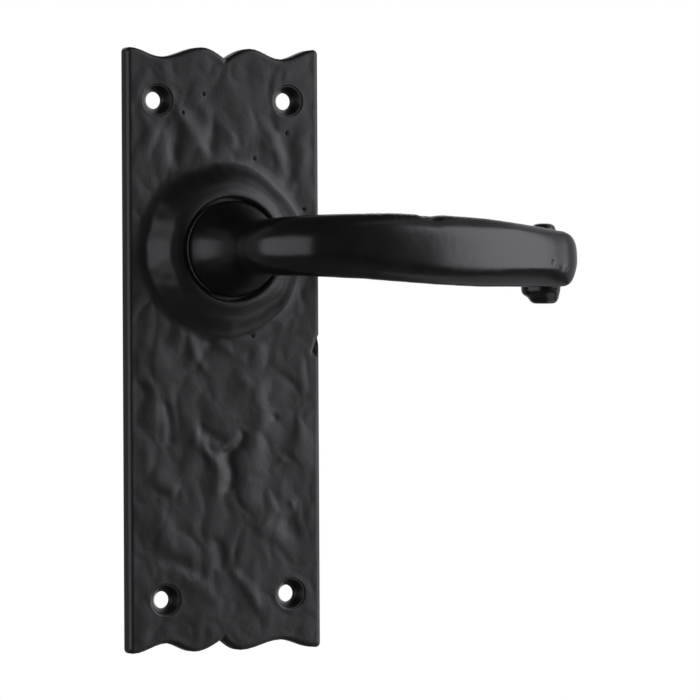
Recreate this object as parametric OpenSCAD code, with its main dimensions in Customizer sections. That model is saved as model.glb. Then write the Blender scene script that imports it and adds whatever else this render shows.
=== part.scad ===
// Rustic cast-iron door lever handle on a backplate, with a sprung latch mechanism.
//
// The part stands as it hangs on a door: +Z up, +X towards the lever's tip, +Y into the door.
// The origin is where the spindle's axis meets the door's face, which is also the plate's back.
// Every sub-part is drawn face up, with x across the door, y up the door and z out of the door,
// and face_door() then stands it up.

/* [Backplate] */
// Width of the plate across the door
plate_w = 54; // [48:1:66]
// Height of the plate between the crests of its wavy ends
plate_h = 155; // [140:1:190]
// Thickness of the plate at its edges
plate_t = 4; // [3.5:0.1:5]
// How far the spindle's axis is above the plate's middle
axis_up = 25.6; // [20:0.1:32]
// Depth of the waves in the plate's ends
wave_depth = 2.4; // [1:0.1:4]
// Radius that rounds the plate's four corners
corner_r = 1.2; // [0.6:0.1:2]

/* [Screw holes] */
// Diameter of each screw hole
screw_hole_d = 4.4; // [3.4:0.1:5]
// Diameter of the countersink at the plate's face
countersink_d = 8; // [6.5:0.1:9]
// Thickness left at the foot of the countersink
sink_land = 1; // [0.6:0.1:1.5]
// Distance of the upper left hole from the plate's top
top_left_end = 13.8; // [10:0.1:18]
// Distance of the upper right hole from the plate's top
top_right_end = 13.5; // [10:0.1:18]
// Distance of the lower left hole from the plate's foot
bottom_left_end = 13.5; // [10:0.1:18]
// Distance of the lower right hole from the plate's foot
bottom_right_end = 14.3; // [10:0.1:18]
// Distance of the upper left hole from the plate's left edge
top_left_in = 8.5; // [7:0.1:12]
// Distance of the upper right hole from the plate's right edge
top_right_in = 8.8; // [7:0.1:12]
// Distance of the lower left hole from the plate's left edge
bottom_left_in = 10.1; // [7:0.1:12]
// Distance of the lower right hole from the plate's right edge
bottom_right_in = 8.7; // [7:0.1:12]

/* [Boss] */
// Height of the boss's rim above the plate's face
boss_rise = 5; // [4:0.1:7]
// Width of the flat ring between the recess and the sloping flank
ring_w = 3.7; // [2.5:0.1:5]
// Width of the sloping flank, seen from the front
flank_w = 5.8; // [5:0.1:6.5]
// Gap between the recess and the lever's hub
hub_gap = 0.85; // [0.5:0.05:1.5]
// Thickness of the wall that the lever's journal passes through
wall_t = 2.2; // [1.8:0.1:3]

/* [Lever] */
// Thickness of the round neck around the corners of the spindle's socket
neck_wall = 1.6; // [1.2:0.1:3]
// Distance from the door to the start of the bend
neck_z = 28; // [25:0.5:32]
// Distance from the door to the middle of the arm
arm_z = 46.4; // [42:0.2:56]
// Height of the arm's upper edge above the spindle's axis
arm_up = 8.4; // [7.5:0.1:11]
// Depth of the arm's lower edge below the spindle's axis, at its deepest
arm_down = 10.3; // [9:0.1:13]
// Height of the scroll's upper edge above the spindle's axis
scroll_up = 4.5; // [3:0.1:7]
// Distance from the spindle's axis to the middle of the scroll
scroll_x = 75; // [66:0.5:95]
// Outer radius of the scroll at the arm's tip
scroll_r = 8.8; // [7.5:0.1:10]
// Thickness of the arm at its middle
arm_t = 9; // [8:0.2:11]
// Thickness of the strap that curls into the scroll
strap_t = 4.2; // [3.4:0.1:4.6]
// Radius of the scroll's eye
eye_r = 3.9; // [3:0.1:4.3]
// Radius of the inner turn that shows under the strap
inner_turn_r = 5.2; // [4.6:0.1:5.8]

/* [Journal and spindle] */
// Side of the square spindle
spindle_side = 8; // [7:0.5:8.5]
// Thickness of the journal around the corners of the spindle's socket
journal_wall = 2.3; // [2:0.1:3]
// How far the spindle reaches behind the plate
spindle_out = 50; // [40:1:90]
// Diameter of the grub screw that holds the spindle
grub_d = 5; // [4:0.5:5]
// Length of the grub screw
grub_len = 4; // [3.5:0.5:4.5]

/* [Mechanism] */
// Thickness of the back cover
cover_t = 0.9; // [0.7:0.1:1.2]
// Thickness of the circlip
clip_t = 0.95; // [0.8:0.05:1.2]
// Height that the wave washer takes up
wave_h = 0.5; // [0.4:0.05:0.8]
// Thickness of the cam plate
cam_t = 1.2; // [1:0.1:1.6]
// Thickness of the thrust washer
washer_t = 0.55; // [0.4:0.05:0.8]
// Thickness of the bush's flange
flange_t = 0.9; // [0.7:0.1:1.2]
// Thickness of the bush's sleeve
sleeve_t = 1.5; // [1:0.1:2]
// Diameter of the return spring's wire
wire_d = 1.4; // [1.1:0.1:1.6]
// Radius of the stop pins
stop_r = 1.1; // [0.9:0.1:1.3]
// How far the lever turns down
travel = 45; // [30:1:50]

/* [Hidden] */

eps = 0.01;             // overlap where cutters pass a face
fit = 0.02;             // clearance of pieces that are pressed or screwed in
running = 0.05;         // clearance of faces and journals that turn
air = 0.35;             // gap between pieces that pass without touching
iron = "#1b1b1d";       // black finish of the castings
steel = "#9a9da1";
dark_steel = "#2c2c2e";
zinc = "#b9b7ac";
spring_steel = "#6f7376";
nylon = "#e6e2d6";

// Radii of the mechanism, from the spindle outwards
socket_half = spindle_side / 2 + running;
journal_r = socket_half * sqrt(2) + journal_wall;
neck_r = socket_half * sqrt(2) + neck_wall;
bush_r = journal_r + running + sleeve_t;
groove_r = journal_r - 0.65;
flat_x = journal_r - 1.4;
cam_r = journal_r + 2.8;
stop_at_r = cam_r + air + stop_r;
cam_lug_r = stop_at_r + stop_r + air;
wire_r = wire_d / 2;
channel_in = cam_lug_r + 1.1;
spring_r = channel_in + 0.8 + wire_r;
channel_out = spring_r + wire_r + 1.2;
foot_r = channel_out + 4.5;
recess_r = foot_r - flank_w - ring_w;
hub_r = recess_r - hub_gap;
cover_side = 2 * channel_out + 4.4;
cover_hole_r = journal_r + 0.6;
clip_out = journal_r + 1.4;

// Layers of the mechanism, from the door's face outwards
journal_end = cover_t / 3;
clip_z = cover_t + air;
wave_z = clip_z + clip_t + running;
cam_z = wave_z + wave_h;
washer_z = cam_z + cam_t + running;
wall_z = washer_z + washer_t + running;
recess_z = wall_z + wall_t;
shoulder_z = recess_z + fit + flange_t + running;
boss_z = plate_t + boss_rise;
socket_depth = neck_z - 2;

// Height of the boss over the plate's face at a radius outside its recess
rim_round = 0.5;
ring_h = boss_rise - 0.7;
ring_out = foot_r - flank_w;
function blend(t) = t * t * (3 - 2 * t);
function mix(a, b, t) = a + (b - a) * t;
function boss_height(r) =
  r > foot_r ? 0
  : r > ring_out ? ring_h * blend((foot_r - r) / flank_w)
  : mix(ring_h, boss_rise, sin(90 * (ring_out - r) / (ring_w - rim_round)));

// Spring channel around the wall that carries the bush; its depth sets the number of turns
boss_skin = 1.7;
spring_z = cover_t + air + wire_r;
channel_z = plate_t + boss_height(channel_out) - boss_skin;
spring_end_z = channel_z - running - wire_r;
spring_turns = (spring_end_z - spring_z) / (wire_d + 0.1);

// Angles on the cam plate, anticlockwise from the lever at rest as seen from the front
cam_lug_a = 250;
cam_lug_w = 30;
stop_half_a = asin((stop_r + running) / stop_at_r);
stop_angles = [
  cam_lug_a + cam_lug_w / 2 + stop_half_a,
  cam_lug_a - cam_lug_w / 2 - stop_half_a - travel
];
stop_depth = wall_t - 0.8;
tab_w = 8;
tab_in = cam_lug_r - 1.7;
leg_in = tab_in + 0.1;
leg_a = cam_lug_a - cam_lug_w / 2 - asin((wire_r + running) / ((tab_in + cam_lug_r) / 2));
anchor_r = 1;
anchor_depth = boss_skin - 0.7;
anchor_a = leg_a - spring_turns * 360 - asin((anchor_r + running) / spring_r);

// Plate's ends, from left to right: [share of half the width, share of the wave's depth]
// Each place is the top of a crest or the foot of a hollow, and the middle one is a sharp cusp
top_wave = [[-0.96, 0.16], [-0.63, 1.1], [-0.215, 0.02], [0.03, 1.24], [0.29, 0.06], [0.61, 1.12], [0.965, 0.02]];
bottom_wave = [[-0.95, 0], [-0.607, 1], [-0.318, 0.02], [-0.035, 1.26], [0.165, 0.04], [0.585, 1.02], [0.95, 0.08]];
cusp_index = 3;
wave_steps = 6;

// How far along the step between two places the wave has come: rounded at both, but sharp at the cusp
function wave_part(i, t) =
  i + 1 == cusp_index ? 1 - cos(90 * t)
  : i == cusp_index ? sin(90 * t)
  : (1 - cos(180 * t)) / 2;

// The points of one wavy end, from left to right: [x, depth of the wave there]
function wave_points(places) = [
  for (i = [0:len(places) - 2], k = [0:wave_steps - 1])
    let (t = k / wave_steps, from = places[i], to = places[i + 1])
    [mix(from[0], to[0], t) * plate_w / 2, wave_depth * mix(from[1], to[1], wave_part(i, t))]
];

// Corner of the plate: a quarter circle about its centre, from angle a0 to a1
function corner(cx, cy, a0, a1) = [
  for (k = [0:4]) let (a = mix(a0, a1, k / 4)) [cx + corner_r * cos(a), cy + corner_r * sin(a)]
];

// Outline of the plate about its own middle, clockwise from the upper left corner
function plate_outline() =
  let (
    x = plate_w / 2 - corner_r,
    y = plate_h / 2 - corner_r,
    last = len(top_wave) - 1,
    top = [for (p = wave_points(top_wave)) if (abs(p[0]) < x) [p[0], plate_h / 2 - p[1]]],
    bottom = [for (p = wave_points(bottom_wave)) if (abs(p[0]) < x) [p[0], -plate_h / 2 + p[1]]],
    n = len(bottom)
  )
  concat(
    corner(-x, y - wave_depth * top_wave[0][1], 180, 90), top,
    corner(x, y - wave_depth * top_wave[last][1], 90, 0),
    corner(x, -y + wave_depth * bottom_wave[last][1], 0, -90), [for (i = [n - 1:-1:0]) bottom[i]],
    corner(-x, -y + wave_depth * bottom_wave[0][1], -90, -180)
  );

flank_steps = 12;
ring_steps = 4;

// Half section of the boss, as [radius, height] points
function boss_section() = concat(
  [[0, plate_t - 1], [foot_r, plate_t - 1]],
  [for (k = [0:flank_steps]) let (r = foot_r - flank_w * k / flank_steps) [r, plate_t + boss_height(r)]],
  [for (k = [1:ring_steps])
    let (r = ring_out - (ring_w - rim_round) * k / ring_steps) [r, plate_t + boss_height(r)]],
  [for (a = [30:30:90]) [recess_r + rim_round * (1 - sin(a)), boss_z - rim_round * (1 - cos(a))]],
  [[0, boss_z - rim_round]]
);

// Radius of the lever's hub at a height: it narrows at once above the boss, and runs smoothly into the neck
hub_straight = boss_z + 0.4;
function hub_radius(z) =
  let (t = max(0, min(1, (z - hub_straight) / (neck_z - hub_straight))))
  mix(hub_r, neck_r, (blend(t) + t * (2 - t)) / 2);

hub_steps = 14;
hub_chamfer = 0.4;
function hub_section() = concat(
  [[0, shoulder_z], [hub_r - hub_chamfer, shoulder_z], [hub_r, shoulder_z + hub_chamfer]],
  [for (k = [0:hub_steps]) let (z = mix(hub_straight, neck_z, k / hub_steps)) [hub_radius(z), z]],
  [[0, neck_z]]
);

// Arm: its middle line in the plan of x and z is two Bezier curves and a spiral
scroll_z = arm_z - 0.6 - scroll_r;
scroll_mid_r = scroll_r - strap_t / 2;
arrive_a = 20;          // slope of the arm, in degrees, where the scroll begins
arm_start = [0, neck_z - 1.5];
arm_bend = [19.2, arm_z + 0.5];
bend_a = 9.5;           // slope of the arm, in degrees, where the bend ends
bend_out = [cos(bend_a), sin(bend_a)];
arm_end = [scroll_x + scroll_mid_r * sin(arrive_a), scroll_z + scroll_mid_r * cos(arrive_a)];
arm_out = [cos(arrive_a), -sin(arrive_a)];
bend_line = [arm_start, [0, arm_z - 5.4], arm_bend - 14.8 * bend_out, arm_bend];
arm_line = [arm_bend, arm_bend + 8.5 * bend_out, arm_end - 18.4 * arm_out, arm_end];
bend_steps = 18;
arm_steps = 22;
curl_steps = 30;
curl_turn = 290;        // how far the strap winds before it runs into the eye

function bezier(p, t) =
  pow(1 - t, 3) * p[0] + 3 * pow(1 - t, 2) * t * p[1] + 3 * (1 - t) * t * t * p[2] + t * t * t * p[3];
function bezier_way(p, t) =
  pow(1 - t, 2) * (p[1] - p[0]) + 2 * (1 - t) * t * (p[2] - p[1]) + t * t * (p[3] - p[2]);

// Radius of the strap's middle line after it has wound by an angle
function curl_radius(a) = scroll_mid_r - (scroll_mid_r - eye_r + 1.2) * pow(max(0, a) / curl_turn, 2.4);
function curl_point(a) =
  [scroll_x + curl_radius(a) * sin(arrive_a + a), scroll_z + curl_radius(a) * cos(arrive_a + a)];

// Sections of the arm: [place, half thickness, top, bottom, squareness of the section]
// Places run 0 to 1 round the bend, 1 to 2 along the arm and 2 to 3 round the scroll
half_t = arm_t / 2;
strap_half = strap_t / 2;
stations = [
  [0.00, neck_r - 0.1, neck_r - 0.1, 0.1 - neck_r, 2.0],
  [0.50, mix(neck_r, half_t, 0.47), mix(neck_r, arm_up, 0.6), mix(-neck_r, -arm_down, 0.05), 2.1],
  [1.00, mix(neck_r, half_t, 0.95), arm_up, mix(-neck_r, -arm_down, 0.33), 2.4],
  [1.20, half_t, arm_up + 0.1, mix(-neck_r, -arm_down, 0.54), 2.5],
  [1.45, half_t - 0.3, arm_up - 0.4, mix(-neck_r, -arm_down, 0.87), 2.6],
  [1.60, mix(half_t, strap_half, 0.28), mix(arm_up, scroll_up, 0.25), -arm_down, 2.6],
  [1.72, mix(half_t, strap_half, 0.53), mix(arm_up, scroll_up, 0.48), -arm_down, 2.7],
  [1.82, mix(half_t, strap_half, 0.75), mix(arm_up, scroll_up, 0.68), -arm_down, 2.7],
  [1.95, strap_half, mix(arm_up, scroll_up, 0.93), -arm_down, 2.7],
  [2.08, strap_half, scroll_up - 0.5, 0.1 - arm_down, 2.6],
  [2.24, strap_half, scroll_up - 1.8, 0.9 - arm_down, 2.3],
  [2.45, strap_half, scroll_up - 1.6, 0.3 - arm_down, 2.5],
  [3.00, strap_half - 0.5, scroll_up - 1.6, 0.2 - arm_down, 2.5]
];

// Section of the arm at a place, between the two stations next to it
function station(place, i = 1) =
  i >= len(stations) - 1 || place <= stations[i][0]
  ? let (a = stations[i - 1], b = stations[i]) mix(a, b, (place - a[0]) / (b[0] - a[0]))
  : station(place, i + 1);

// The middle line as [point, way it runs, place]
arm_frames = concat(
  [for (k = [0:bend_steps - 1]) let (t = k / bend_steps) [bezier(bend_line, t), bezier_way(bend_line, t), t]],
  [for (k = [0:arm_steps - 1]) let (t = k / arm_steps) [bezier(arm_line, t), bezier_way(arm_line, t), 1 + t]],
  [for (k = [0:curl_steps])
    let (t = k / curl_steps, a = curl_turn * t) [curl_point(a), curl_point(a + 1) - curl_point(a - 1), 2 + t]]
);

// One ring of the arm: a rounded section across the way that the arm runs
ring_points = 44;
function power(v, e) = sign(v) * pow(abs(v), e);
function arm_ring(frame) =
  let (
    way = frame[1] / norm(frame[1]),
    outward = [-way[1], way[0]],
    st = station(frame[2]),
    mid = (st[2] + st[3]) / 2,
    half = (st[2] - st[3]) / 2
  )
  [for (k = [0:ring_points - 1])
    let (
      a = 360 * k / ring_points,
      n = st[1] * power(cos(a), 2 / st[4]),
      up = mid + half * power(sin(a), 2 / st[4])
    )
    [frame[0][0] + outward[0] * n, up, frame[0][1] + outward[1] * n]];

// A closed skin over rings that all hold the same number of points
module skin(rings) {
  n = len(rings[0]);
  last = len(rings) - 1;
  polyhedron(
    points = [for (ring = rings, p = ring) p],
    faces = concat(
      [[for (k = [n - 1:-1:0]) k]],
      [for (i = [0:last - 1], k = [0:n - 1], half = [0, 1])
        let (a = i * n + k, b = i * n + (k + 1) % n)
        half == 0 ? [a, b + n, a + n] : [a, b, b + n]],
      [[for (k = [0:n - 1]) last * n + k]]
    ),
    convexity = 8
  );
}

// Stands a piece up on the door: its z, out of the door, becomes -Y
module face_door() rotate([90, 0, 0]) children();

module ring_plate(outer, inner, z, t) {
  translate([0, 0, z]) difference() {
    cylinder(r = outer, h = t, $fn = 96);
    translate([0, 0, -1]) cylinder(r = inner, h = t + 2, $fn = 96);
  }
}

module rounded_square(side, r) {
  square([side - 2 * r, side], center = true);
  square([side, side - 2 * r], center = true);
  for (x = [-1, 1], y = [-1, 1]) translate([x, y] * (side / 2 - r)) circle(r = r, $fn = 32);
}

module at_screw_holes() {
  x = plate_w / 2;
  y = plate_h / 2;
  translate([0, -axis_up, 0]) {
    translate([top_left_in - x, y - top_left_end, 0]) children();
    translate([x - top_right_in, y - top_right_end, 0]) children();
    translate([bottom_left_in - x, bottom_left_end - y, 0]) children();
    translate([x - bottom_right_in, bottom_right_end - y, 0]) children();
  }
}

module screw_hole() {
  translate([0, 0, -1]) cylinder(d = screw_hole_d, h = plate_t + 2, $fn = 48);
  translate([0, 0, sink_land])
    cylinder(d1 = screw_hole_d, d2 = countersink_d, h = plate_t - sink_land, $fn = 48);
  translate([0, 0, plate_t]) cylinder(d = countersink_d, h = 1, $fn = 48);
}

cover_screw_at = cover_side / 2 - 3.3;
cover_screw_r = 1.25;
cover_screw_len = plate_t - 0.7;
cover_seat_t = cover_t + fit;
module at_cover_screw(i) {
  a = 45 + 90 * i;
  translate([sign(cos(a)), sign(sin(a)), 0] * cover_screw_at) children();
}

module backplate() {
  color(iron) face_door() difference() {
    union() {
      translate([0, -axis_up, 0]) linear_extrude(plate_t) polygon(plate_outline());
      rotate_extrude($fn = 128) polygon(boss_section());
    }
    // recess for the hub, bore for the bush, and the hollow behind
    translate([0, 0, recess_z]) cylinder(r = recess_r, h = boss_rise + 10, $fn = 128);
    translate([0, 0, wall_z - 1]) cylinder(r = bush_r, h = wall_t + 2, $fn = 96);
    translate([0, 0, -1]) cylinder(r = channel_out, h = wall_z + 1, $fn = 128);
    translate([0, 0, wall_z - eps]) difference() {
      cylinder(r = channel_out, h = channel_z - wall_z + eps, $fn = 128);
      translate([0, 0, -1]) cylinder(r = channel_in, h = channel_z, $fn = 128);
    }
    // seat and screw holes for the back cover
    translate([0, 0, -1]) linear_extrude(cover_seat_t + 1) rounded_square(cover_side + 0.2, 3);
    for (i = [0:3]) at_cover_screw(i)
      translate([0, 0, -1]) cylinder(r = cover_screw_r + fit, h = cover_screw_len + 1.1, $fn = 32);
    // blind holes for the stop pins and the spring's anchor pin
    for (a = stop_angles) rotate(a) translate([stop_at_r, 0, wall_z - 1])
      cylinder(r = stop_r + fit, h = stop_depth + 1, $fn = 32);
    rotate(anchor_a) translate([spring_r, 0, channel_z - 1])
      cylinder(r = anchor_r + fit, h = anchor_depth + 1, $fn = 32);
    at_screw_holes() screw_hole();
  }
}

module bearing_bush() {
  color(nylon) face_door() difference() {
    union() {
      translate([0, 0, wall_z]) cylinder(r = bush_r - fit, h = wall_t + flange_t, $fn = 96);
      translate([0, 0, recess_z + fit]) cylinder(r = hub_r - air, h = flange_t, $fn = 96);
    }
    translate([0, 0, wall_z - 1]) cylinder(r = journal_r + running, h = wall_t + flange_t + 2, $fn = 96);
  }
}

// The cam's lug swings between the two stop pins
module stop_pin(i) {
  color(steel) face_door() rotate(stop_angles[i]) translate([stop_at_r, 0, cam_z + running])
    cylinder(r = stop_r, h = wall_z + stop_depth - fit - cam_z - running, $fn = 32);
}

module spring_anchor_pin() {
  z = spring_end_z - wire_r + running;
  color(steel) face_door() rotate(anchor_a) translate([spring_r, 0, z])
    cylinder(r = anchor_r, h = channel_z + anchor_depth - fit - z, $fn = 32);
}

cover_head_r = 2.3;
module back_cover() {
  color(zinc) face_door() difference() {
    linear_extrude(cover_t) rounded_square(cover_side, 2.9);
    translate([0, 0, -1]) cylinder(r = cover_hole_r, h = cover_t + 2, $fn = 96);
    for (i = [0:3]) at_cover_screw(i) {
      translate([0, 0, -1]) cylinder(r = cover_head_r + fit, h = 1, $fn = 48);
      cylinder(r1 = cover_head_r + fit, r2 = cover_screw_r + fit, h = cover_t + fit, $fn = 48);
    }
  }
}

// Cross recess in a countersunk head
module cross_recess(r, depth) {
  for (a = [0, 90]) rotate(a) translate([-r, -r / 5, -1]) cube([2 * r, 2 * r / 5, depth + 1]);
}

module cover_screw(i) {
  color(zinc) face_door() at_cover_screw(i) difference() {
    union() {
      cylinder(r1 = cover_head_r, r2 = cover_screw_r, h = cover_t, $fn = 48);
      cylinder(r = cover_screw_r, h = cover_screw_len - 0.6, $fn = 32);
      translate([0, 0, cover_screw_len - 0.6]) cylinder(r1 = cover_screw_r, r2 = 0.6, h = 0.6, $fn = 32);
    }
    rotate(20 * i) cross_recess(1.3, 0.7);
  }
}

// Coil of the return spring: a leg that the cam pushes, then turns that end at the anchor pin
coil_steps = 34;
wire_points = 10;
leg_steps = 3;
spring_path = concat(
  [for (k = [0:leg_steps])
    let (r = mix(leg_in, spring_r - 1.2, k / leg_steps)) [r * cos(leg_a), r * sin(leg_a), spring_z]],
  [for (k = [1:3]) let (b = 90 - 22.5 * k, c = leg_a - asin(1.2 / spring_r) * (k / 3))
    [(spring_r - 1.2 * (1 - cos(30 * k))) * cos(c), (spring_r - 1.2 * (1 - cos(30 * k))) * sin(c), spring_z]],
  [for (k = [2:coil_steps * 2])
    let (s = k / (coil_steps * 2), a = leg_a - spring_turns * 360 * s)
    [spring_r * cos(a), spring_r * sin(a), mix(spring_z, spring_end_z, s)]]
);

function path_way(p, i) =
  let (a = p[max(0, i - 1)], b = p[min(len(p) - 1, i + 1)]) (b - a) / norm(b - a);

module return_spring() {
  rings = [for (i = [0:len(spring_path) - 1])
    let (
      way = path_way(spring_path, i),
      side = cross(way, [0, 0, 1]) / norm(cross(way, [0, 0, 1])),
      up = cross(side, way)
    )
    [for (k = [0:wire_points - 1])
      let (a = 360 * k / wire_points) spring_path[i] + wire_r * (cos(a) * side + sin(a) * up)]];
  color(spring_steel) face_door() skin(rings);
}

module spindle_bar(side, z0, z1) translate([-side / 2, -side / 2, z0]) cube([side, side, z1 - z0]);

// Journal with two flats for the cam plate and a groove for the circlip
module journal() {
  difference() {
    translate([0, 0, journal_end]) cylinder(r = journal_r, h = shoulder_z - journal_end + 1, $fn = 96);
    ring_plate(journal_r + 1, groove_r, clip_z - running, clip_t + 2 * running);
    for (side = [-1, 1])
      translate([side * (flat_x + 5) - 5, -10, -1]) cube([10, 20, washer_z + 1 - running]);
  }
}

grub_z = 22;
grub_bite = 0.4;
grub_in = spindle_side / 2 - grub_bite;
module lever() {
  color(iron) face_door() difference() {
    union() {
      journal();
      rotate_extrude($fn = 96) polygon(hub_section());
      skin([for (frame = arm_frames) arm_ring(frame)]);
      scroll_eye();
    }
    spindle_bar(2 * socket_half, -1, socket_depth);
    translate([0, 0, grub_z]) rotate([0, 90, 0]) cylinder(d = grub_d + 2 * fit, h = hub_r + 2, $fn = 40);
  }
}

// The strap's inner turns stand out below it in two steps, and a little above it
eye_round = 0.9;
turn_bottom = -arm_down - 2.1;
eye_bottom = turn_bottom - 2;
eye_top = scroll_up + 1.9;
module scroll_eye() {
  translate([scroll_x, 0, scroll_z]) rotate([-90, 0, 0]) {
    translate([-0.9, 0, 0]) rounded_post(inner_turn_r, turn_bottom, -arm_down / 2, eye_round);
    rounded_post(eye_r, eye_bottom, 0, eye_round);
    rounded_post(eye_r - 0.5, eye_bottom / 2, eye_top, 1.4 * eye_round);
  }
}

// A round post from one height to another, with rounded ends
module rounded_post(r, from, to, round_r) {
  rotate_extrude($fn = 48) polygon(concat(
    [[0, from]],
    [for (a = [0:30:90]) [r - round_r + round_r * sin(a), from + round_r - round_r * cos(a)]],
    [for (a = [90:-30:0]) [r - round_r + round_r * sin(a), to - round_r + round_r * cos(a)]],
    [[0, to]]
  ));
}

module grub_screw() {
  key_r = 1.45;
  point = 0.9;
  color(dark_steel) face_door() translate([0, 0, grub_z]) rotate([0, 90, 0]) difference() {
    union() {
      translate([0, 0, grub_in + point]) cylinder(d = grub_d, h = grub_len - point, $fn = 40);
      translate([0, 0, grub_in]) cylinder(r1 = 1.5, r2 = grub_d / 2, h = point, $fn = 40);
    }
    translate([0, 0, grub_in + grub_len - 2.2]) cylinder(r = key_r, h = 3, $fn = 6);
  }
}

spindle_chamfer = 0.8;
module spindle() {
  from = -spindle_out;
  to = socket_depth - 0.5;
  color(steel) face_door() difference() {
    spindle_bar(spindle_side, from, to);
    for (end = [from, to], a = [0:90:270])
      translate([0, 0, end]) rotate(a) translate([spindle_side / 2, 0, 0]) rotate([0, 45, 0])
        cube([spindle_chamfer * 1.42, spindle_side + 2, spindle_chamfer * 1.42], center = true);
    // dimple that the grub screw bites into
    translate([0, 0, grub_z]) rotate([0, 90, 0])
      translate([0, 0, grub_in - fit]) cylinder(r = 2.1, h = grub_bite + 1, $fn = 32);
  }
}

module thrust_washer() {
  color(steel) face_door() ring_plate(bush_r + 1.4, journal_r + running, washer_z, washer_t);
}

// A wedge about the axis between two angles, for the cam's lug and tab
module sector(r_in, r_out, a0, a1, z, t) {
  steps = 8;
  translate([0, 0, z]) linear_extrude(t) polygon(concat(
    [for (k = [0:steps]) let (a = mix(a0, a1, k / steps)) r_out * [cos(a), sin(a)]],
    [for (k = [steps:-1:0]) let (a = mix(a0, a1, k / steps)) r_in * [cos(a), sin(a)]]
  ));
}

module cam_plate() {
  a0 = cam_lug_a - cam_lug_w / 2;
  tab_back = spring_z - wire_r;
  color(zinc) face_door() difference() {
    union() {
      translate([0, 0, cam_z]) cylinder(r = cam_r, h = cam_t, $fn = 96);
      sector(cam_r - 1, cam_lug_r, a0, a0 + cam_lug_w, cam_z, cam_t);
      sector(tab_in, cam_lug_r, a0, a0 + tab_w, tab_back, cam_z - tab_back + 0.2);
    }
    difference() {
      translate([0, 0, cam_z - 1]) cylinder(r = journal_r + running, h = cam_t + 2, $fn = 96);
      for (side = [-1, 1])
        translate([side * (flat_x + running + 5) - 5, -10, cam_z - 2]) cube([10, 20, cam_t + 4]);
    }
  }
}

wave_t = 0.25;
wave_count = 3;
wave_segments = 72;
module wave_washer() {
  r_in = journal_r + running;
  r_out = journal_r + 2.4;
  lift = (wave_h - wave_t) / 2 - running;
  mid_z = wave_z + wave_h / 2 - running / 2;
  rings = [for (k = [0:wave_segments - 1])
    let (a = 360 * k / wave_segments, z = mid_z + lift * cos(wave_count * a), c = [cos(a), sin(a)])
    [for (q = [[r_in, -1], [r_out, -1], [r_out, 1], [r_in, 1]])
      [q[0] * c[0], q[0] * c[1], z + q[1] * wave_t / 2]]];
  color(spring_steel) face_door() loop_skin(rings);
}

// A closed skin over rings that run round in a loop
module loop_skin(rings) {
  n = len(rings[0]);
  m = len(rings);
  polyhedron(
    points = [for (ring = rings, p = ring) p],
    faces = [for (i = [0:m - 1], k = [0:n - 1], half = [0, 1])
      let (a = i * n + k, b = i * n + (k + 1) % n, c = ((i + 1) % m) * n + k, d = ((i + 1) % m) * n + (k + 1) % n)
      half == 0 ? [a, d, c] : [a, b, d]],
    convexity = 6
  );
}

clip_gap_a = 32;
module circlip() {
  gap_to = clip_out + 4;
  color(spring_steel) face_door() translate([0, 0, clip_z]) linear_extrude(clip_t) difference() {
    union() {
      difference() {
        circle(r = clip_out, $fn = 96);
        circle(r = groove_r + fit, $fn = 96);
        polygon([[0, 0], gap_to * [cos(90 - clip_gap_a), sin(90 - clip_gap_a)],
          gap_to * [cos(90 + clip_gap_a), sin(90 + clip_gap_a)]]);
      }
      for (side = [-1, 1]) rotate(90 + side * (clip_gap_a + 6))
        translate([clip_out - 0.3, 0]) circle(r = 1.5, $fn = 32);
    }
    for (side = [-1, 1]) rotate(90 + side * (clip_gap_a + 6))
      translate([clip_out - 0.3, 0]) circle(r = 0.6, $fn = 24);
    circle(r = groove_r + fit, $fn = 96);
  }
}

backplate();
bearing_bush();
stop_pin(0);  // rest_stop_pin
stop_pin(1);  // travel_stop_pin
spring_anchor_pin();
back_cover();
cover_screw(0);  // cover_screw_1
cover_screw(1);  // cover_screw_2
cover_screw(2);  // cover_screw_3
cover_screw(3);  // cover_screw_4
return_spring();
lever();
grub_screw();
spindle();
thrust_washer();
cam_plate();
wave_washer();
circlip();
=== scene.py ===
"""Looks for the rustic cast-iron door lever handle.

Row frame, in metres: +Z up the door, +X along the arm, +Y into the door. The two castings are rebuilt here
at a finer grain than the CAD: the plate gets its hand-hewn relief, softened edges and casting pits, and the
lever its blended curves and foundry texture. The return spring is rounded. Every other CAD piece keeps its
shape and gets a finish.
"""

import math

import bmesh
import bpy
import numpy as np
from mathutils import Matrix, Vector
from mathutils.geometry import delaunay_2d_cdt


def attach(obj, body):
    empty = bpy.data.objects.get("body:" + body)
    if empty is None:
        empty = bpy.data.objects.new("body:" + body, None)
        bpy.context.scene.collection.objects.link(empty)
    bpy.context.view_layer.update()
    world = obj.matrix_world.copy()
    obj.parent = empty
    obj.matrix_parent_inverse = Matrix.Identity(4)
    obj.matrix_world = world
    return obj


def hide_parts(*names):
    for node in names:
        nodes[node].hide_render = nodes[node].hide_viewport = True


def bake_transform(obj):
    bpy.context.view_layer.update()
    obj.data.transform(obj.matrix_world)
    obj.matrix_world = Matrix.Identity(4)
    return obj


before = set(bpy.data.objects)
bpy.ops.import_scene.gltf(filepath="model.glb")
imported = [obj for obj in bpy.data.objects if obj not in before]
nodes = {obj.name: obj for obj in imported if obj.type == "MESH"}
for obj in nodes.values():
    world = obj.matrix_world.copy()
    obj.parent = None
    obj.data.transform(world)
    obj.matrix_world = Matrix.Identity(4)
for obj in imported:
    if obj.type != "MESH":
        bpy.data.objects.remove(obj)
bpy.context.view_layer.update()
MM = 0.001
scene = bpy.context.scene

# ---------------------------------------------------------------- camera and light

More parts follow.
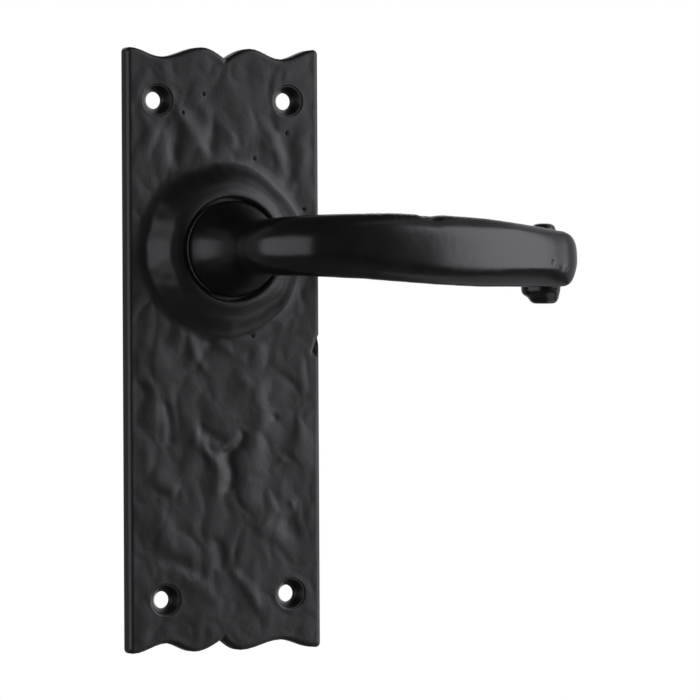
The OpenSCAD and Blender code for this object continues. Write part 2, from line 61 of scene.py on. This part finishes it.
YAW = math.radians(26.01)  # the camera stands this far to the left of the plate's normal
ROLL = math.radians(0.287)
DISTANCE = 1.3076
AIM_ALONG = 0.03369  # where the view's middle is, to the right of the spindle and up from it
AIM_UP = -0.02597
LENS = 261.28
SENSOR = 36
LIT_POINT = Vector((0.02, 0, -0.02))  # what the studio lights face


def look(yaw, pitch=0.0):
    """Right, up and back directions of something that faces the object from that side."""
    back = Vector((-math.sin(yaw) * math.cos(pitch), -math.cos(yaw) * math.cos(pitch), math.sin(pitch)))
    right = Vector((math.cos(yaw), -math.sin(yaw), 0))
    return right, back.cross(right), back


def basis(right, up, back, place):
    m = Matrix((right, up, back)).transposed().to_4x4()
    m.translation = place
    return m


right, up, back = look(YAW)
target = right * AIM_ALONG + Vector((0, 0, AIM_UP))
camera = bpy.data.objects.new("camera", bpy.data.cameras.new("camera"))
camera.data.lens = LENS
camera.data.sensor_width = SENSOR
camera.data.clip_end = 20
turned_right = right * math.cos(ROLL) - up * math.sin(ROLL)
turned_up = right * math.sin(ROLL) + up * math.cos(ROLL)
camera.matrix_world = basis(turned_right, turned_up, back, target + back * DISTANCE)
scene.collection.objects.link(camera)
scene.camera = camera
scene.view_settings.view_transform = "Standard"


def softbox(name, yaws, pitches, distance, radiance):
    """A studio light that fills a range of directions, in degrees. Yaw is to the left of the plate's normal."""
    yaw, pitch = (math.radians(sum(v) / 2) for v in (yaws, pitches))
    size = [2 * distance * math.tan(math.radians(abs(v[1] - v[0]) / 2)) for v in (yaws, pitches)]
    light = bpy.data.lights.new(name, "AREA")
    light.shape = "RECTANGLE"
    light.size, light.size_y = size
    light.energy = radiance * 4 * size[0] * size[1]
    light.color = (1, 0.975, 1.03)
    o = bpy.data.objects.new(name, light)
    r, u, b = look(yaw, pitch)
    o.matrix_world = basis(r, u, b, LIT_POINT + b * distance)
    o.visible_camera = False
    scene.collection.objects.link(o)


softbox("left_box", (30, 116), (-22, 24), 0.9, 1.0)
softbox("left_glow", (118, 165), (-30, 45), 0.9, 0.1)
softbox("right_box", (-66, -29.5), (-14, 32), 1.1, 2.35)
softbox("right_glow", (-120, -68), (-22, 45), 1.1, 0.45)
softbox("high_glow", (-110, -35), (36, 62), 1.0, 0.3)
softbox("low_glow", (-110, -46), (-66, -30), 0.5, 0.4)
softbox("back_glow", (168, 240), (-35, 50), 1.2, 0.5)


def new_tree(material_or_world):
    material_or_world.use_nodes = True
    tree = material_or_world.node_tree
    tree.nodes.clear()
    return tree


def add(tree, kind, **values):
    """A node with its inputs set by name, or its properties where it has no such input."""
    n = tree.nodes.new(kind)
    for key, value in values.items():
        name = key.replace("_", " ")
        socket = next((s for s in n.inputs if s.name.lower() == name.lower()), None)
        if socket is not None:
            socket.default_value = value
        else:
            setattr(n, key, value)
    return n


def white_to_camera(tree, to_others, white, out):
    """The camera sees the white shader, and everything else the other one."""
    path = add(tree, "ShaderNodeLightPath")
    mixed = add(tree, "ShaderNodeMixShader")
    tree.links.new(path.outputs["Is Camera Ray"], mixed.inputs[0])
    tree.links.new(to_others.outputs[0], mixed.inputs[1])
    tree.links.new(white.outputs[0], mixed.inputs[2])
    tree.links.new(mixed.outputs[0], out.inputs[0])


world = bpy.data.worlds.new("studio")
scene.world = world
tree = new_tree(world)
white_to_camera(
    tree,
    add(tree, "ShaderNodeBackground", color=(0.9, 0.93, 1.0, 1), strength=0.06),
    add(tree, "ShaderNodeBackground", color=(1, 1, 1, 1), strength=1.0),
    add(tree, "ShaderNodeOutputWorld"),
)

# ---------------------------------------------------------------- helpers for meshes


def row(points):
    """Points of the flat drawing, in mm as x across, y up and d out from the door, in the row frame."""
    p = np.asarray(points, float)
    return np.stack([p[:, 0], -p[:, 2], p[:, 1]], -1) * MM


def row_to_flat(co):
    return np.stack([co[:, 0], co[:, 2], -co[:, 1]], -1) / MM


def make_object(name, points, faces):
    mesh = bpy.data.meshes.new(name)
    mesh.from_pydata([tuple(p) for p in points], [], faces)
    mesh.update()
    o = bpy.data.objects.new(name, mesh)
    scene.collection.objects.link(o)
    return o


WELD = 2e-7  # corners of a CAD mesh this close, in metres, are one


def copy_of(node, name):
    """A copy of a CAD node's mesh with its split corners joined, so that it is closed."""
    mesh = nodes[node].data.copy()
    mesh.name = name
    bm = bmesh.new()
    bm.from_mesh(mesh)
    bmesh.ops.remove_doubles(bm, verts=bm.verts, dist=WELD)
    bm.to_mesh(mesh)
    bm.free()
    if "custom_normal" in mesh.attributes:
        mesh.attributes.remove(mesh.attributes["custom_normal"])
    mesh.materials.clear()
    o = bpy.data.objects.new(name, mesh)
    scene.collection.objects.link(o)
    return o


def apply_modifiers(o):
    depsgraph = bpy.context.evaluated_depsgraph_get()
    mesh = bpy.data.meshes.new_from_object(o.evaluated_get(depsgraph))
    o.modifiers.clear()
    old = o.data
    o.data = mesh
    mesh.name = o.name
    bpy.data.meshes.remove(old)


def keep_inside(o, other):
    """Cuts an object down to the part of it that is inside another, which goes away."""
    m = o.modifiers.new("cut", "BOOLEAN")
    m.operation = "INTERSECT"
    m.object = other
    m.solver = "MANIFOLD"
    apply_modifiers(o)
    bpy.data.objects.remove(other)


def shade(o, angle):
    """Smooth shading, with edges sharper than the angle, in degrees, kept crisp."""
    o.data.shade_smooth()
    o.data.set_sharp_from_angle(angle=math.radians(angle))


def coords(o):
    co = np.empty(len(o.data.vertices) * 3)
    o.data.vertices.foreach_get("co", co)
    return co.reshape(-1, 3)


def smoothstep(a, b, v):
    """0 at a and 1 at b, smoothly; a may be the greater."""
    t = np.clip((v - a) / (b - a), 0, 1)
    return t * t * (3 - 2 * t)


def gradient_noise(p, seed):
    """Smooth noise of about -1 to 1 over 2-D or 3-D points, one lump to a unit."""
    rng = np.random.default_rng(seed)
    size, dims = 256, p.shape[1]
    perm = rng.permutation(size)
    grads = rng.normal(size=(size, dims))
    grads /= np.linalg.norm(grads, axis=1)[:, None]
    cell = np.floor(p).astype(int)
    f = p - cell
    w = f * f * f * (f * (f * 6 - 15) + 10)
    total = np.zeros(len(p))
    for corner in range(2**dims):
        bits = np.array([(corner >> k) & 1 for k in range(dims)])
        h = np.zeros(len(p), int)
        for k in range(dims):
            h = perm[(h + cell[:, k] + bits[k]) % size]
        share = np.prod(np.where(bits, w, 1 - w), axis=1)
        total += share * np.sum(grads[h] * (f - bits), axis=1)
    return total * 1.6


# ---------------------------------------------------------------- plate

PLATE_T = 4.0
FOOT_R = 22.8  # the boss's foot, the outer edge of its ring, and the rim of its recess
RING_OUT = 17.0
RIM_R = 13.3
RIM_ROUND = 0.5
BOSS_RISE = 5.0  # the boss's height at the rim and at the ring's outer edge, above the plate
RING_H = 4.3
HOLES = ((-18.5, 38.1), (18.2, 38.4), (-16.9, -89.6), (18.3, -88.8))
SINK_R = 4.0
EDGE_ROUND = 1.0
SKIN = 0.07  # how far the finished surface stays inside the CAD's
MID_LEVEL = 0.3  # the hewn face's middle level is this far below the CAD's flat


def plate_outline():
    """The plate's outer edge, from the rim of its flat back, as an ordered loop of [x, y] in mm."""
    bm = bmesh.new()
    bm.from_mesh(nodes["backplate"].data)
    bmesh.ops.remove_doubles(bm, verts=bm.verts, dist=WELD)
    rim = {}
    for e in bm.edges:
        ys = [abs(v.co.y) for v in e.verts]
        if max(ys) < 1e-6 and len(e.link_faces) == 2:
            ny = sorted(abs(f.normal.y) for f in e.link_faces)
            if ny[0] < 0.5 < ny[1]:
                a, b = (v.index for v in e.verts)
                rim.setdefault(a, []).append(b)
                rim.setdefault(b, []).append(a)
    co = {v.index: (v.co.x / MM, v.co.z / MM) for v in bm.verts if v.index in rim}
    bm.free()
    start = min(rim, key=lambda i: co[i][0])
    loop, last, here = [start], None, start
    while True:
        step = [i for i in rim[here] if i != last][0]
        if step == start:
            break
        loop.append(step)
        last, here = here, step
    return np.array([co[i] for i in loop])


def distance_inside(points, loop):
    """Distance of each point from the loop, positive inside it."""
    a, b = loop, np.roll(loop, -1, axis=0)
    best = np.full(len(points), 1e9)
    inside = np.zeros(len(points), bool)
    for (ax, ay), (bx, by) in zip(a, b):
        dx, dy = bx - ax, by - ay
        t = np.clip(((points[:, 0] - ax) * dx + (points[:, 1] - ay) * dy) / (dx * dx + dy * dy + 1e-12), 0, 1)
        best = np.minimum(best, np.hypot(points[:, 0] - ax - t * dx, points[:, 1] - ay - t * dy))
        crosses = (ay > points[:, 1]) != (by > points[:, 1])
        with np.errstate(divide="ignore", invalid="ignore"):
            inside ^= crosses & (points[:, 0] < ax + (points[:, 1] - ay) * dx / (dy if dy else 1e-12))
    return np.where(inside, best, -best)


def boss_wobble(p):
    """How far the boss's hand-dressed outline has worn in, in mm."""
    r = np.hypot(*p.T)
    dents = 0.5 + 0.5 * gradient_noise(p / 9, 21) + 0.15 * gradient_noise(p / 3.5, 22)
    return 0.9 * np.clip(dents, 0, 1) * smoothstep(RING_OUT - 2.5, RING_OUT + 1.0, r)


def boss_height(r):
    flank = RING_H * smoothstep(0, 1, (FOOT_R - r) / (FOOT_R - RING_OUT))
    along = np.clip((RING_OUT - r) / (RING_OUT - RIM_R - RIM_ROUND), 0, 1)
    ring = RING_H + (BOSS_RISE - RING_H) * np.sin(along * np.pi / 2)
    into = np.clip((RIM_R + RIM_ROUND - r) / RIM_ROUND, 0, 1)
    ring -= RIM_ROUND * (1 - np.sqrt(1 - into**2))
    return np.where(r > RING_OUT, flank, ring)


# Hewn marks on the plate: x, y, length, direction in degrees, width and height (negative is a hollow), in mm
MARKS = (
    # above the boss
    (-14, 27, 9, -72, 2.0, -0.35),
    (-9.5, 30, 16, -62, 2.0, 0.30),
    (-5.5, 37, 6, -50, 1.6, 0.15),
    (-4.5, 28.5, 7, 88, 1.8, -0.30),
    (0.5, 28, 8, 75, 2.2, 0.25),
    (14, 26, 8, -50, 2.4, 0.25),
    (18.5, 24, 15, 85, 2.2, -0.35),
    (13, 32.5, 5, -55, 1.3, -0.20),
    (16, 30.3, 4, -15, 1.2, -0.15),
    (5.5, 36, 6, 10, 2.0, 0.12),
    (-21, 30, 9, 80, 2.4, 0.20),
    # round the foot of the boss
    (-11.5, -22, 8, -20, 2.4, 0.35),
    (-4.5, -24, 3, 70, 1.2, -0.25),
    (0.3, -25.5, 6, 0, 2.0, 0.25),
    (8, -25, 5, 20, 2.0, 0.25),
    (16.5, -13, 13, 60, 2.0, 0.35),
    (-7.5, -28, 7, -35, 1.6, 0.25),
    (-18, -28.3, 6, 60, 2.6, 0.30),
    # the broad dome, and the rope that curls down its right side
    (-1.7, -41.8, 6, 20, 5.5, 0.45),
    (-3.5, -48, 8, -16, 1.1, -0.30),
    (7.5, -37, 8, -35, 2.6, 0.35),
    (11, -44, 8, 95, 2.6, 0.35),
    (7.5, -52, 12, 75, 2.5, 0.40),
    (6.3, -62, 8, 88, 2.2, 0.30),
    (3.0, -50, 8, 65, 1.2, -0.35),
    (1.3, -57, 11, 90, 1.3, -0.40),
    (14.6, -43.5, 1.2, 0, 0.9, -0.35),
    (-6, -51, 10, -50, 1.8, 0.30),
    (-2.2, -58, 10, -85, 1.7, 0.30),
    # left side
    (-20.5, -39, 11, 88, 2.3, 0.35),
    (-15.9, -45, 12, 98, 1.5, -0.30),
    (-17, -59.5, 8, -30, 2.3, 0.35),
    (-17.3, -72, 10, -60, 2.3, 0.35),
    # right side
    (17, -36, 8, 80, 2.2, -0.20),
    (21.5, -50, 12, 85, 2.2, 0.20),
    (18.3, -65.4, 2, 0, 1.1, 0.20),
    (17.0, -54, 3, 60, 1.5, 0.18),
    (11.5, -67.5, 7, 20, 2.2, 0.22),
    (17.8, -70.5, 6, -60, 1.7, -0.40),
    (13, -73, 10, -30, 2.0, 0.28),
    # foot
    (-12, -81, 13, -15, 1.8, -0.28),
    (-1.7, -78.5, 9, 90, 1.5, -0.35),
    (5.8, -87, 13, -58, 1.9, 0.30),
    (-8, -86, 9, -30, 2.0, 0.20),
)
# Casting pits: x, y and radius, in mm
PITS = (
    (-5.7, 39.8, 0.5),
    (-11.6, 35.0, 0.5),
    (17.8, 30.1, 0.55),
    (8.6, 23.4, 0.5),
    (7.9, -22.2, 0.55),
    (22.6, 10.4, 0.45),
)
PIT_DEPTH = 0.45
# A chip at the plate's right edge, written as a mark
FLAW = (26.2, -24.6, 5, 74, 0.5, -0.9)


def stroke(x, y, mark):
    """The height, in mm, that a mark adds at each point."""
    mx, my, length, direction, width, height = mark
    a = math.radians(direction)
    u = (x - mx) * math.cos(a) + (y - my) * math.sin(a)
    v = -(x - mx) * math.sin(a) + (y - my) * math.cos(a)
    beyond = np.maximum(0, np.abs(u) - length / 2 + width)
    return height * np.exp(-(v**2 + beyond**2) / (width**2))


def relief(x, y):
    """The plate's hewn surface, up and down from its middle level, in mm."""
    p = np.stack([x, y], -1)
    bend = np.stack([gradient_noise(p / 8, 1), gradient_noise(p / 8, 2)], -1)
    q = p + 1.6 * bend
    lumps = 0.22 * np.abs(gradient_noise(q / (6.5, 9.0), 3))
    lumps += 0.04 * np.abs(gradient_noise(q / (3.4, 4.6) + 7, 4))
    waves = 0.14 * gradient_noise(q / (12, 15), 5) + 0.006 * gradient_noise(q / 1.4, 6)
    marks = sum(stroke(q[:, 0], q[:, 1], m) for m in MARKS)
    return 0.3 * np.tanh((lumps + waves + marks - 0.1) / 0.5)


def plate_surface(points, loop):
    """Height of the finished front above the door at each point of the flat drawing, in mm."""
    x, y = points[:, 0], points[:, 1]
    r = np.hypot(x, y)
    inside = distance_inside(points, loop)
    hole = np.min([np.hypot(x - hx, y - hy) for hx, hy in HOLES], axis=0)
    open_field = smoothstep(FOOT_R - 1.2, FOOT_R + 2.2, r) * smoothstep(0.3, 3.0, inside)
    open_field *= smoothstep(SINK_R, SINK_R + 2, hole)
    worn = r + boss_wobble(points)
    boss = np.mean([boss_height(worn + step) for step in (-0.6, -0.3, 0, 0.3, 0.6)], axis=0)
    boss = np.where(r > RIM_R + 1.2, boss, boss_height(worn))
    h = PLATE_T - SKIN + boss - MID_LEVEL * smoothstep(21, 24.5, r)
    h += relief(x, y) * open_field
    h += 0.012 * gradient_noise(points / 2.5, 8) * smoothstep(0.2, 1.5, inside)
    h -= 0.04 * np.exp(-(((r - 15.7) / 0.25) ** 2)) * smoothstep(-0.2, 0.5, gradient_noise(points / 7, 23))
    into = np.clip((EDGE_ROUND - np.maximum(inside, 0)) / EDGE_ROUND, 0, 1)
    h -= EDGE_ROUND * (1 - np.sqrt(1 - np.minimum(into, 0.995) ** 2))
    h -= 0.12 * np.clip((SINK_R + 0.3 - hole) / 0.3, 0, 1) ** 2
    for px, py, pr in PITS:
        h -= PIT_DEPTH * np.exp(-(((x - px) ** 2 + (y - py) ** 2) / (pr * 0.7) ** 2) ** 1.5)
    h += stroke(x, y, FLAW)
    return h


def ring_points(cx, cy, radii, step):
    """Points on circles about a centre, about a step apart."""
    out = []
    for r in radii:
        n = max(8, int(2 * math.pi * r / step))
        a = (np.arange(n) + 0.5 * (len(out) % 2)) * 2 * math.pi / n
        out.append(np.stack([cx + r * np.cos(a), cy + r * np.sin(a)], -1))
    return np.concatenate(out)


SLAB_MARGIN = 1.5
SLAB_STEP = 0.5


def slab_points(loop):
    """Points of the slab's front: a grid, closer round the plate's edge, the boss, the holes and the pits."""
    lo, hi = loop.min(0) - SLAB_MARGIN, loop.max(0) + SLAB_MARGIN
    counts = ((hi - lo) / SLAB_STEP).astype(int) + 1
    gx, gy = np.meshgrid(*(np.linspace(lo[k], hi[k], counts[k]) for k in range(2)))
    grid = np.stack([gx.ravel(), gy.ravel()], -1)
    border = (np.abs(grid - lo) < 1e-9).any(1) | (np.abs(grid - hi) < 1e-9).any(1)
    r = np.hypot(*grid.T)
    near = np.min([np.hypot(grid[:, 0] - x, grid[:, 1] - y) for x, y in HOLES], axis=0)
    pit = np.min([np.hypot(grid[:, 0] - x, grid[:, 1] - y) for x, y, _ in PITS], axis=0)
    free = np.abs(distance_inside(grid, loop)) > 1.3
    free &= ((r < 12.9) | (r > 24.1)) & (near > 5.1) & (pit > 1.1)
    sets = [grid[border | free]]
    dense = []
    for a, b in zip(loop, np.roll(loop, -1, axis=0)):
        length = np.linalg.norm(b - a)
        n = max(1, int(length / 0.45))
        t = np.arange(n)[:, None] / n
        across = np.repeat([[(b - a)[1], -(b - a)[0]]], n, 0) / length
        dense.append(np.concatenate([a + (b - a) * t, across], 1))
    dense = np.concatenate(dense)
    turned = 1 if distance_inside(dense[:1, :2] + dense[:1, 2:] * 0.1, loop)[0] > 0 else -1
    for offset in (-0.8, -0.25, 0.0, 0.06, 0.16, 0.3, 0.48, 0.7, 1.0):
        sets.append(dense[:, :2] + turned * dense[:, 2:] * offset)
    radii = [13.1, 13.3, 13.34, 13.42, 13.53, 13.66, 13.8] + list(np.arange(14.0, 24.1, 0.28))
    sets.append(ring_points(0, 0, radii, 0.42))
    for x, y in HOLES:
        sets.append(ring_points(x, y, (3.5, 3.8, 3.92, 4.0, 4.1, 4.22, 4.36, 4.5, 4.75), 0.35))
    for x, y, _ in PITS:
        sets.append(ring_points(x, y, (0.05, 0.15, 0.27, 0.4, 0.55, 0.75, 0.95), 0.15))
    points = np.concatenate(sets)
    return points[(points >= lo - 1e-9).all(1) & (points <= hi + 1e-9).all(1)]


def plate_slab(loop):
    """A block with the plate's finished front and wider sides, to which the CAD solid is cut."""
    corners = [Vector(p) for p in slab_points(loop)]
    verts, _, faces, *_ = delaunay_2d_cdt(corners, [], [], 0, 0.02)
    flat = np.array([tuple(v) for v in verts])
    top = row(np.column_stack([flat, plate_surface(flat, loop)]))
    edges = {(f[i], f[(i + 1) % 3]): True for f in faces for i in range(3)}
    rim = {a: b for a, b in edges if (b, a) not in edges}
    start = next(iter(rim))
    order = [start]
    while rim[order[-1]] != start:
        order.append(rim[order[-1]])
    n = len(flat)
    foot = row(np.column_stack([flat[order], np.full(len(order), -1.0)]))
    new = {v: n + i for i, v in enumerate(order)}
    sides = [(b, a, new[a], new[b]) for a, b in zip(order, order[1:] + order[:1])]
    under = [tuple(new[v] for v in reversed(order))]
    return make_object("slab", np.concatenate([top, foot]), [tuple(f) for f in faces] + sides + under)


loop = plate_outline()
plate = copy_of("backplate", "plate_casting")
keep_inside(plate, plate_slab(loop))
shade(plate, 38)
print("plate", len(plate.data.vertices), "vertices")

# ---------------------------------------------------------------- lever

VOXEL = 0.0004
SOFTEN_ROUNDS = 24


def soften(o, rounds, weight):
    """Rounds of smoothing, each point moving halfway to the middle of its neighbours."""
    co = coords(o)
    edges = np.empty(len(o.data.edges) * 2, int)
    o.data.edges.foreach_get("vertices", edges)
    a, b = edges.reshape(-1, 2).T
    count = np.bincount(np.concatenate([a, b]), minlength=len(co))[:, None]
    for _ in range(rounds):
        total = np.zeros_like(co)
        for k in range(3):
            total[:, k] = np.bincount(a, co[b, k], len(co)) + np.bincount(b, co[a, k], len(co))
        co += 0.5 * (total / count - co) * weight[:, None]
    o.data.vertices.foreach_set("co", co.ravel())
    o.data.update()


def normals(o):
    n = np.empty(len(o.data.vertices) * 3)
    o.data.vertices.foreach_get("normal", n)
    return n.reshape(-1, 3)


# Casting nicks on the arm: x, y, radius and depth, in mm
NICKS = (
    (36.5, 8.2, 2.0, 0.35),
    (34.0, 8.4, 1.0, 0.3),
    (72.5, -3.8, 0.35, 0.3),
    (76.0, -5.2, 0.9, 0.12),
    (77.5, -5.6, 0.5, 0.15),
)
TIP_ROUND_FROM = 77  # past this x, in mm, the strap's edges sweep in to its end
lever = copy_of("lever", "lever_casting")
remesh = lever.modifiers.new("remesh", "REMESH")
remesh.mode = "VOXEL"
remesh.voxel_size = VOXEL
apply_modifiers(lever)
reach = -coords(lever)[:, 1]
soften(lever, SOFTEN_ROUNDS, smoothstep(0.0135, 0.02, reach) * 0.92 + 0.08)
co = coords(lever)
mm = row_to_flat(co)
on_arm = smoothstep(9, 16, mm[:, 2])
dent = 0.006 * gradient_noise(mm / 1.8, 11) + 0.04 * gradient_noise(mm / 9, 12) - 0.05
rough_top = smoothstep(6.0, 8.0, mm[:, 1]) * smoothstep(14, 22, mm[:, 0]) * smoothstep(54, 44, mm[:, 0])
dent -= 0.12 * rough_top * np.abs(gradient_noise(mm / 1.6, 13))
for x, y, size, depth in NICKS:
    near = np.exp(-((mm[:, 0] - x) ** 2 + (mm[:, 1] - y) ** 2) / size**2)
    dent -= depth * near * smoothstep(44, 47, mm[:, 2])
co += normals(lever) * (dent * MM * on_arm)[:, None]
past = np.maximum(mm[:, 0] - TIP_ROUND_FROM, 0)
co[:, 2] += 0.08 * past**2 * smoothstep(-2, -9, mm[:, 1]) * MM
co[:, 2] -= 0.04 * past**2 * smoothstep(-1, 6, mm[:, 1]) * MM
# The outer face falls away towards its upper corner and along its lower edge
corner = smoothstep(58, 80, mm[:, 0]) * np.maximum(mm[:, 1] + 1, 0) ** 2
low = np.maximum(-5 - mm[:, 1], 0)
bevel = 0.28 * (np.sqrt(low**2 + 0.36) - 0.6) * smoothstep(45, 72, mm[:, 0])
co[:, 1] += (0.026 * corner + bevel) * smoothstep(42, 48, mm[:, 2]) * MM
lever.data.vertices.foreach_set("co", co.ravel())
lever.data.update()
shade(lever, 50)
print("lever", len(lever.data.vertices), "vertices")

# ---------------------------------------------------------------- return spring

spring = copy_of("return_spring", "torsion_spring")
rounder = spring.modifiers.new("rounder", "SUBSURF")
rounder.levels = 1
apply_modifiers(spring)
shade(spring, 60)

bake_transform(spring)
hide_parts("return_spring")
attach(plate, "plate")
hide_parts("backplate")
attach(lever, "lever")
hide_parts("lever")

# ---------------------------------------------------------------- finishes


def finish(name, color, roughness, grain, metallic=0.0, spread=0.25):
    """A procedural finish, whose colour and roughness vary in soft patches.

    Its grain is the scale, stretch, strength and distance of its bump.
    """
    material = bpy.data.materials.new(name)
    tree = new_tree(material)
    shader = add(tree, "ShaderNodeBsdfPrincipled", metallic=metallic, specular_IOR_level=0.5)
    out = add(tree, "ShaderNodeOutputMaterial")
    tree.links.new(shader.outputs[0], out.inputs[0])
    where = add(tree, "ShaderNodeTexCoord")
    patches = add(tree, "ShaderNodeTexNoise", scale=180.0, detail=4.0, roughness=0.6)
    tree.links.new(where.outputs["Object"], patches.inputs["Vector"])
    hue = add(tree, "ShaderNodeValToRGB")
    hue.color_ramp.elements[0].position = 0.3
    hue.color_ramp.elements[1].position = 0.7
    hue.color_ramp.elements[0].color = (*[c * (1 - spread) for c in color], 1)
    hue.color_ramp.elements[1].color = (*[min(1, c * (1 + spread)) for c in color], 1)
    tree.links.new(patches.outputs["Fac"], hue.inputs["Fac"])
    tree.links.new(hue.outputs["Color"], shader.inputs["Base Color"])
    rough = add(tree, "ShaderNodeMapRange")
    rough.inputs["To Min"].default_value = roughness - 0.05
    rough.inputs["To Max"].default_value = roughness + 0.05
    tree.links.new(patches.outputs["Fac"], rough.inputs["Value"])
    tree.links.new(rough.outputs["Result"], shader.inputs["Roughness"])
    scale, stretch, strength, distance = grain
    stretched = add(tree, "ShaderNodeMapping")
    stretched.inputs["Scale"].default_value = stretch
    tree.links.new(where.outputs["Object"], stretched.inputs["Vector"])
    noise = add(tree, "ShaderNodeTexNoise", scale=scale, detail=3.0, roughness=0.55)
    tree.links.new(stretched.outputs[0], noise.inputs["Vector"])
    bump = add(tree, "ShaderNodeBump", strength=strength, distance=distance)
    tree.links.new(noise.outputs["Fac"], bump.inputs["Height"])
    tree.links.new(bump.outputs[0], shader.inputs["Normal"])
    return material


def dress(o, material):
    o.data.materials.clear()
    o.data.materials.append(material)


EVEN = (1, 1, 1)
ALONG_BAR = (1, 0.04, 1)  # drawn bars have their grain along the spindle
iron_plate = finish("black_iron_plate", (0.008, 0.007, 0.0075), 0.35, (1100, EVEN, 0.12, 0.0002))
iron_lever = finish("black_iron_lever", (0.0075, 0.0065, 0.007), 0.23, (900, EVEN, 0.06, 0.0002))
zinc = finish("zinc", (0.62, 0.6, 0.54), 0.34, (1400, EVEN, 0.15, 0.0001), 1.0, 0.1)
drawn = finish("drawn_steel", (0.52, 0.52, 0.53), 0.3, (900, ALONG_BAR, 0.3, 0.0001), 1.0, 0.12)
sprung = finish("spring_steel", (0.22, 0.23, 0.25), 0.28, (1600, EVEN, 0.2, 0.0001), 1.0, 0.2)
oxide = finish("black_oxide", (0.03, 0.03, 0.032), 0.45, (1200, EVEN, 0.15, 0.0001))
white_nylon = finish("nylon", (0.62, 0.6, 0.53), 0.45, (500, EVEN, 0.15, 0.0002), spread=0.06)

dress(plate, iron_plate)
dress(lever, iron_lever)
dress(spring, sprung)
FINISHES = {
    zinc: ("back_cover", "cover_screw_1", "cover_screw_2", "cover_screw_3", "cover_screw_4", "cam_plate"),
    drawn: ("spindle", "thrust_washer", "rest_stop_pin", "travel_stop_pin", "spring_anchor_pin"),
    sprung: ("wave_washer", "circlip"),
    oxide: ("grub_screw",),
    white_nylon: ("bearing_bush",),
}
for material, names in FINISHES.items():
    for name in names:
        dress(nodes[name], material)

# ---------------------------------------------------------------- floor

FLOOR_HALF = 3
FLOOR_Z = -0.6
corners = [(x * FLOOR_HALF, y * FLOOR_HALF, FLOOR_Z) for x, y in ((-1, -1), (1, -1), (1, 1), (-1, 1))]
floor = make_object("floor", corners, [(0, 1, 2, 3)])
paper = bpy.data.materials.new("floor_paper")
tree = new_tree(paper)
white_to_camera(
    tree,
    add(tree, "ShaderNodeBsdfDiffuse", color=(0.2, 0.2, 0.2, 1)),
    add(tree, "ShaderNodeEmission", color=(1, 1, 1, 1), strength=1.0),
    add(tree, "ShaderNodeOutputMaterial"),
)
dress(floor, paper)
